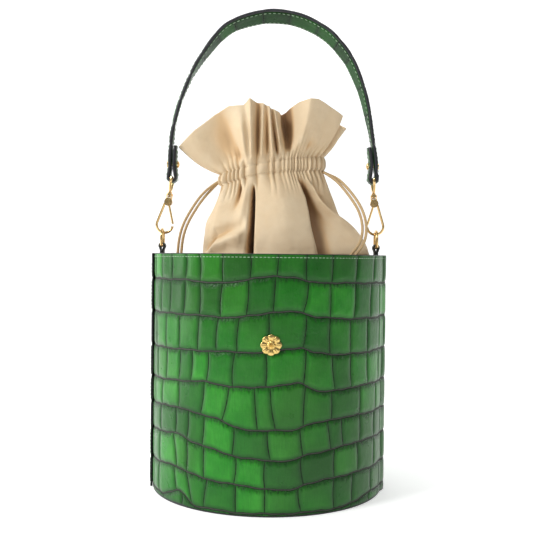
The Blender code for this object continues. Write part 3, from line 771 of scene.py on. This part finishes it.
# Folds of the front below the neck: depth out (+) or in (-), widths to the left and right,
# fade at the foot, then points (z, x) of its line.
BODY_FOLDS = (
    (-24.0, 1.9, 1.5, 1.0, ((262, -13.6), (250, -13.8), (230, -14.2), (203, -15.6))),
    (6.0, 22, 20, 0.5, ((272, 3), (240, 12), (200, 16))),
    (-18.0, 2.0, 22, 0.6, ((270, 20), (260, 28), (248, 33), (236, 35.5), (222, 37.5),
                           (208, 40.5), (200, 42))),
    (11.0, 7, 2.5, 0.9, ((272, 27), (258, 37), (245, 45), (237, 52), (230, 60),
                      (222, 68), (212, 76), (200, 83))),
    (-4.5, 2.6, 3.2, 0.0, ((268, -24), (255, -25.5), (243, -28), (232, -31))),
    (3.5, 4, 4, 0.3, ((268, -19), (250, -20.5), (235, -23), (215, -27))),
    (3.0, 8, 7, 0.4, ((264, -34), (245, -41), (225, -46), (205, -48))),
)
# Pleats of the ruffle's front: amount out (+) or in (-), its place across the neck,
# widths to the left and right, and where up the ruffle it is strongest and how widely.
RUFFLE_PLEATS = (
    (-7.0, -0.67, 0.17, 0.12, 0.55, 0.6), (7.0, -0.45, 0.07, 0.04, 0.5, 0.4),
    (-5.0, -0.56, 0.05, 0.05, 0.15, 0.2), (9.0, -0.345, 0.05, 0.025, 0.8, 0.9),
    (-3.5, -0.27, 0.03, 0.03, 0.5, 0.6), (5.0, -0.19, 0.04, 0.04, 0.5, 0.7),
    (-4.0, -0.11, 0.025, 0.03, 0.5, 0.6),
    (6.5, -0.02, 0.05, 0.02, 0.7, 0.8), (-7.0, 0.045, 0.02, 0.03, 0.45, 0.5),
    (5.0, 0.12, 0.04, 0.03, 0.6, 0.6), (-15.0, 0.27, 0.07, 0.07, 0.75, 0.5),
    (10.0, 0.48, 0.09, 0.30, 0.7, 0.8), (-4.0, 0.62, 0.07, 0.07, 0.2, 0.14),
    (5.0, 0.90, 0.12, 0.03, 0.7, 0.6), (-8.0, 0.965, 0.03, 0.02, 0.6, 0.5),
    (4.0, 0.40, 0.05, 0.05, 0.15, 0.2), (-3.0, -0.80, 0.12, 0.1, 0.5, 0.5),
)
# Creases of the drawn neck's front, across it.
FRONT_CREASES = (-1.0, -0.96, -0.83, -0.75, -0.69, -0.61, -0.50, -0.28, -0.035, 0.055, 0.19,
                 0.26, 0.34, 0.385, 0.44, 0.50, 0.56, 0.615, 0.695, 0.76, 0.85, 0.94, 1.0)
# Waves of the back, round the pouch: depth, number and phase.
REAR_WAVES = ((2.6, 9, 0.4), (2.0, 14, 2.0), (1.6, 21, 4.1))
PUCKER = 4.2  # height of a full pucker
NECK_HALF = 45.5
NECK_DEEP = 12.5
RIM = 200
COLUMNS = 440  # of points round the pouch
CHANNEL_ROWS = 12


def neck_foot(p):
    return 265.5 + 3.5 * (1 - p * p) + 7 * p


def neck_top(p):
    return neck_foot(p) + 11.5 + 1.5 * p


def gathers(p, half, creases, picker):
    """The drawn neck's puckers on one half: rounded ridges parted by sharp creases."""
    at = list(creases)
    while at[-1] < 1:
        at.append(at[-1] + picker.choice((0.06, 0.08, 0.12, 0.18, 0.22)))
    tall = np.array([picker.uniform(0.6, 1.0) for _ in at])
    column = np.interp(p, at, np.arange(len(at)))
    cell = np.clip(column.astype(int), 0, len(at) - 1)
    return np.sin(math.pi * (column % 1)) ** 0.6 * tall[cell] * half


def body_relief(x, z, front):
    """How far the front of the pouch stands out below the neck, in mm."""
    out = np.zeros_like(x)
    for amount, left, right, foot, line in BODY_FOLDS:
        middle = np.interp(z, *np.transpose(line[::-1]))
        down = np.clip((line[0][0] - z) / (line[0][0] - line[-1][0]), 0, 1)
        strength = smooth_step(down / 0.3) * (1 + (foot - 1) * smooth_step((down - 0.55) / 0.45))
        spread = 0.55 + 0.6 * down
        out += amount * strength * bump(x - middle, left * spread, right * spread, 1.7)
    crest = np.interp(x, (-56, -49, -45, -35, -24, -20), (196, 201, 207, 212, 216, 218))
    reach = smooth_step((-x - 19) / 6) * smooth_step((x + 62) / 8)
    out += reach * (5 * bump(z - crest, 7, 3, 1.8) - 5 * bump(z - crest - 7, 3.5, 6, 1.8))
    return out * front


def hollows(relief):
    """How far each point lies behind its surroundings in its row: 0, level, to 1."""
    reach = 32
    kernel = np.hanning(2 * reach + 1)
    kernel /= kernel.sum()
    wide = np.pad(relief, ((0, 0), (reach, reach)), mode="wrap")
    around = np.array([np.convolve(row, kernel, "valid") for row in wide])
    return smooth_step((around - relief) / 6.0)


class Girth:
    """Places round the pouch, from its left end over the front, and what varies there."""

    def __init__(self):
        picker = random.Random(21)
        turn = math.pi + 2 * math.pi * np.arange(COLUMNS) / COLUMNS
        self.p, self.side = np.cos(turn), np.sin(turn)
        self.front = smooth_step(-self.side * 3.0)
        self.back = smooth_step(self.side * 3.0)
        self.pucker = (gathers(self.p, self.side <= 0, FRONT_CREASES, picker)
                       + gathers(self.p, self.side > 0, (-1.0,), picker)) - 0.45
        self.rear = sum(a * np.cos(f * turn + c) for a, f, c in REAR_WAVES) * self.back


def sizes(table, at):
    """Centre in x and half widths in x and y at one place of a table."""
    return np.array([np.interp(at, *np.transpose(table)[[0, k]]) for k in (1, 2, 3)])


def hidden_rows(g):
    """Rows of x, y, z and relief from the base up to the rim."""
    for z in np.concatenate([[7, 7.5, 9, 11, 14], np.linspace(22, 196, 26)]):
        centre, wide, deep = sizes(POUCH_LOW, z)
        settle = smooth_step((z - 120) / 80)
        x = centre + wide * g.p
        relief = settle * (body_relief(x, np.full(COLUMNS, RIM + 2.0), g.front) + g.rear)
        yield x, deep * g.side, np.full(COLUMNS, z), relief


def body_rows(g):
    """Rows from the rim to the neck, where the folds give way to puckers."""
    for w in np.linspace(0, 1, 62):
        blur = np.mean([sizes(POUCH_HIGH, w + d) for d in (-0.07, -0.03, 0, 0.03, 0.07)], 0)
        exact = sizes(POUCH_HIGH, w)
        centre, wide, deep = exact + (blur - exact) * smooth_step(min(w, 1 - w) / 0.1)
        x = centre + wide * g.p
        z = RIM + w * (neck_foot(g.p) - RIM)
        near = smooth_step((w - 0.02) / 0.3)
        lean = 12 * np.clip(g.p, 0, 1) ** 2 * (1 - near)
        fade = 1 - smooth_step((w - 0.86) / 0.14)
        relief = fade * (body_relief(x, z, g.front) + g.rear * (1 - 0.6 * w))
        tight = smooth_step((w - 0.62) / 0.38) ** 1.5
        yield x, deep * g.side - lean, z, relief + tight * PUCKER * g.pucker


def channel_rows(g):
    """Rows of the drawstring's channel, a soft tube between two lines of stitching."""
    for v in np.linspace(0.08, 1, CHANNEL_ROWS):
        z = neck_foot(g.p) + v * (neck_top(g.p) - neck_foot(g.p))
        tube = math.sin(math.pi * v) - 0.8 * (bump(v - 0.08, 0.1, 0.1)
                                              + bump(v - 0.95, 0.1, 0.1))
        yield 1 + NECK_HALF * g.p, NECK_DEEP * g.side, z, PUCKER * g.pucker + tube


def ruffle_rows(g):
    """Rows of the ruffle, from the channel out to its top edge."""
    tops = [[np.interp(g.p, *np.transpose(edge)[[0, k]]) for k in (1, 2)]
            for edge in (FRONT_EDGE, BACK_EDGE)]
    top_x, top_z = (np.where(g.side <= 0, front, back) for front, back in zip(*tops))
    top_y = np.where(g.side <= 0, -21, 19) * (1 - g.p ** 4) ** 0.5 * np.abs(g.side) ** 0.3
    waves = 5.5 * np.cos(7 * g.p + 0.8) + 2.5 * np.cos(17 * g.p)
    for t in np.linspace(0.025, 1, 52):
        x = (1 + NECK_HALF * g.p) * (1 - t) + top_x * t
        y = NECK_DEEP * g.side * (1 - t) + top_y * t
        z = neck_top(g.p) * (1 - t) + top_z * t - 3 * math.sin(math.pi * t) * g.p ** 4
        relief = np.zeros(COLUMNS)
        for amount, place, left, right, level, spread in RUFFLE_PLEATS:
            strength = math.exp(-((t - level) / spread) ** 2) * smooth_step(t / 0.25)
            slant = 0.22 * bump(place - 0.12, 0.2, 0.22) * (t - 0.45)
            relief += amount * strength * bump(g.p - place + slant, left, right, 1.8) * g.front
        relief += g.back * waves * smooth_step(t / 0.6)
        relief += PUCKER * g.pucker * math.exp(-(t / 0.2) ** 1.3)
        yield x, y, z, relief


def pouch():
    g = Girth()
    hidden, body = list(hidden_rows(g)), list(body_rows(g))
    rows = hidden + body + list(channel_rows(g))
    channel = len(rows) - CHANNEL_ROWS, len(rows) - 1
    rows += ruffle_rows(g)
    grid = np.array([row[:3] for row in rows]).transpose(0, 2, 1)
    relief = np.array([row[3] for row in rows])
    outward = np.stack([np.broadcast_to(g.p * 0.35, relief.shape),
                        np.broadcast_to(g.side, relief.shape)], -1)
    outward /= np.maximum(np.linalg.norm(outward, axis=-1, keepdims=True), 1e-6)
    grid[:, :, :2] += outward * relief[..., None]
    for j in range(len(hidden) - 3, len(rows)):
        for i in range(COLUMNS):
            q = Vector(grid[j, i]) * 0.09
            grid[j, i, 1] += 0.55 * noise.noise(q) + 0.25 * noise.noise(q * 2.7)
    grid[:, :, 0] = np.clip(grid[:, :, 0], -79.5, 84.5)
    faces = tube(len(rows), COLUMNS)[:-1]
    piece = mesh_piece("pouch_cloth_bag", (grid * MM).reshape(-1, 3), faces, [CLOTH], None,
                       "bag")
    # How deep each point lies in the folds, which drives the cloth's painted shade.
    hollow_shade = hollows(relief)
    beside = np.roll(hollow_shade, -1, axis=1)
    shares = np.stack([hollow_shade[:-1], beside[:-1], beside[1:], hollow_shade[1:]], -1)
    corner_values(piece, "hollow_shade", shares, COLUMNS)
    thick = piece.modifiers.new("thickness", "SOLIDIFY")
    thick.thickness = 0.8 * MM
    thick.offset = -1
    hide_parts("pouch")
    channel_stitching([grid[row] * MM for row in (channel[0] + 1, channel[1] - 1)])


def channel_stitching(lines):
    """Stitches round the pouch along both sides of the drawstring's channel."""
    places = []
    for line in lines:
        line = [Vector(q) for q in line]
        line.append(line[0])
        even, _ = even_line(line, 2.3 * MM)
        for a, b in zip(even, even[1:]):
            middle, ahead = Vector((a + b) / 2), Vector(b - a)
            away = ahead.cross(Vector((0, 0, 1)))
            places.append((middle + away.normalized() * 0.1 * MM, ahead, away))
    stitches("channel_stitching", places, "bag", CREAM_THREAD, 1.7 * MM, 0.2 * MM)


# ---- cords

CORD_RADIUS = 1.2 * MM
LEFT_ROUTE = ((-46.7, -1, 261), (-53.5, -2, 254.8), (-60, -3.5, 247.3), (-65.5, -5, 238.8),
              (-70.5, -7, 229.8), (-74.3, -8, 220.5), (-76.5, -9, 210), (-77.3, -10, 199),
              (-78.3, -10, 185), (-81, -10, 168))
RIGHT_ROUTE = ((46.3, -2, 272), (51, -5, 269.3), (58.7, -12, 263.6), (67.5, -22, 252.3),
               (74.8, -33, 239), (77.8, -41, 227), (77.3, -47, 216), (73.5, -52.5, 207),
               (66, -59, 197.5), (60.5, -64.5, 184), (58.5, -66.5, 167))
IN_CLOTH = (-43.2, -0.6, 263.6)  # where the left cord goes on inside the neck's channel
STRAND_SPREAD = 1.4


def smooth_route(route, spacing=4.5):
    """Evenly spaced points on a Catmull-Rom curve through the route's points."""
    ends = [2 * route[0] - route[1], *route, 2 * route[-1] - route[-2]]
    fine = []
    for a, b, c, d in zip(ends, ends[1:], ends[2:], ends[3:]):
        for i in range(12):
            t = i / 12
            fine.append(0.5 * (2 * b + (c - a) * t + (2 * a - 5 * b + 4 * c - d) * t * t
                               + (3 * b - a - 3 * c + d) * t ** 3))
    fine.append(route[-1])
    even, _ = even_line(fine, spacing)
    return [Vector(q) for q in even]


def strand_line(route, sign):
    """One strand's points: beside the other at the neck, then apart across the route."""
    last = len(route) - 1
    out = []
    for i, q in enumerate(route):
        ahead = route[min(i + 1, last)] - route[max(i - 1, 0)]
        aside = Vector((-ahead.z, 0, ahead.x)).normalized()
        turn = math.pi / 2 * float(smooth_step(i / last / 0.35))
        spread = STRAND_SPREAD * (1 + 0.15 * math.sin(math.pi * i / last))
        out.append(q + sign * spread * (Vector((0, math.cos(turn), 0))
                                        + aside * math.sin(turn)))
    return out


def drawstring(side, route):
    """Two strands that hang from the neck's channel and go in behind the rim."""
    middle = [Vector(q) for q in route]
    for name, sign in (("front", -1), ("back", 1)):
        points = [q * MM for q in smooth_route(strand_line(middle, sign))]
        data = bpy.data.curves.new(f"cord_{side}_{name}", "CURVE")
        data.dimensions = "3D"
        data.bevel_depth = CORD_RADIUS
        data.bevel_resolution = 3
        data.use_fill_caps = True
        spline = data.splines.new("POLY")
        spline.points.add(len(points) - 1)
        for target, q in zip(spline.points, points):
            target.co = (*q, 1)
        spline.use_smooth = True
        data.materials.append(CORD)
        cord = add_object(data.name, data)
        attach(cord, "bag")
        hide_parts(f"drawstring_{side}_{name}")
        length = sum((b - a).length for a, b in zip(points, points[1:]))
        tuple(points[0])


# ---- carried-over nodes

NODE_LOOKS = {
    "d_ring": GOLD, "hook_frame": GOLD, "hook_gate": GOLD, "gate_pin": GOLD,
    "gate_spring": STEEL, "swivel_eye": GOLD, "stud": GOLD,
    "tab": BLACK_LEATHER, "base_leather": BLACK_LEATHER, "base_board": BOARD,
    "base_lining": LINING, "wall_lining": LINING, "drawstring_knot": CORD,
}


def dress_nodes():
    """Materials for the CAD nodes that stay, with joined vertices and softened edges."""
    for name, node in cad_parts.items():
        look = next((m for key, m in NODE_LOOKS.items() if name.startswith(key)), None)
        if look is None or node.hide_render:
            continue
        node.data.materials.clear()
        node.data.materials.append(look)
        for face in node.data.polygons:
            face.use_smooth = True
        weld = node.modifiers.new("weld", "WELD")
        weld.merge_threshold = 0.002 * MM
        split = node.modifiers.new("edges", "EDGE_SPLIT")
        split.split_angle = math.radians(38)


# ---- studio

WORLD_LOW, WORLD_SIDES = 0.2, 0.25
BACKDROP_DEEP, BACKDROP_WIDE, BACKDROP_TALL, BACKDROP_BEND = 2.0, 8.0, 4.0, 0.8
# Name, place, size and power of each lamp. All point near the middle of the bag.
LAMPS = (("key", (-1.35, -0.95, 1.4), (0.5, 0.5), 21),
         ("left", (-1.2, 0.0, 0.4), (0.4, 1.2), 5),
         ("right", (1.2, 0.2, 0.4), (0.4, 1.2), 0.6),
         ("top", (0, 0.1, 1.8), (1.0, 1.0), 9))
CAMERA_PLACE = (-2.1 * MM, -0.72, 0.1968)
CAMERA_LENS = 55.6  # on a sensor 36 mm wide
CAMERA_PITCH, CAMERA_ROLL = -0.6, 0.6


def surroundings():
    """A dim world, a little brighter at the sides, that looks white behind the bag."""
    world = bpy.data.worlds.new("studio")
    bpy.context.scene.world = world
    world.use_nodes = True
    w = Nodes(world.node_tree)
    way = w.add("ShaderNodeTexCoord").outputs["Generated"]
    across = w.math("ABSOLUTE", w.add("ShaderNodeSeparateXYZ", {0: way}).outputs["X"])
    seen = w.add("ShaderNodeLightPath").outputs["Is Camera Ray"]
    glow = w.add("ShaderNodeMix", {0: seen, 2: w.ramp(across, 0.55, 0.9, WORLD_LOW,
                                                      WORLD_SIDES), 3: 1.0}).outputs[0]
    background = world.node_tree.nodes["Background"]
    w.put(background, "Strength", glow)
    w.put(background, "Color", rgb((1, 1, 1)))


def backdrop():
    """A pale floor that curves up behind the bag."""
    flat = BACKDROP_DEEP - BACKDROP_BEND
    profile = [(-6.0, 0.0), (flat, 0.0)]
    for i in range(1, 13):
        turn = math.pi / 2 * i / 12
        profile.append((flat + BACKDROP_BEND * math.sin(turn),
                        BACKDROP_BEND - BACKDROP_BEND * math.cos(turn)))
    profile.append((BACKDROP_DEEP, BACKDROP_TALL))
    points = [(x, y, z) for y, z in profile for x in (-BACKDROP_WIDE, BACKDROP_WIDE)]
    faces = [(2 * i, 2 * i + 1, 2 * i + 3, 2 * i + 2) for i in range(len(profile) - 1)]
    s = Shader("backdrop")
    s.shade(Base_Color=s.mix(s.noise(3), rgb((0.93, 0.93, 0.93)), rgb((0.95, 0.95, 0.95))),
            Roughness=0.9, Emission_Color=rgb((1, 1, 1)), Emission_Strength=0.45)
    mesh_piece("backdrop", points, faces, [s.material])


def lamps():
    for name, place, size, power in LAMPS:
        data = bpy.data.lights.new(name, "AREA")
        data.shape = "RECTANGLE"
        data.size, data.size_y = size
        data.energy = power
        lamp = add_object(name, data)
        lamp.location = place
        aim = Vector((0, 0, 0.18)) - lamp.location
        lamp.rotation_euler = aim.to_track_quat("-Z", "Y").to_euler()


def camera():
    data = bpy.data.cameras.new("camera")
    data.sensor_width = 36
    data.lens = CAMERA_LENS
    data.clip_start = 0.01
    view = add_object("camera", data)
    view.location = CAMERA_PLACE
    pitch, roll = math.radians(CAMERA_PITCH), math.radians(CAMERA_ROLL)
    view.rotation_euler = (Euler((math.pi / 2 + pitch, 0, 0)).to_matrix()
                           @ Euler((0, 0, roll)).to_matrix()).to_euler()
    bpy.context.scene.camera = view


camera()
for name, route in (("left", (IN_CLOTH, *LEFT_ROUTE)), ("right", RIGHT_ROUTE)):
    drawstring(name, route)
wall()
rosette()
strap()
pouch()
dress_nodes()
bpy.context.scene.view_settings.view_transform = "Standard"
surroundings()
backdrop()
lamps()
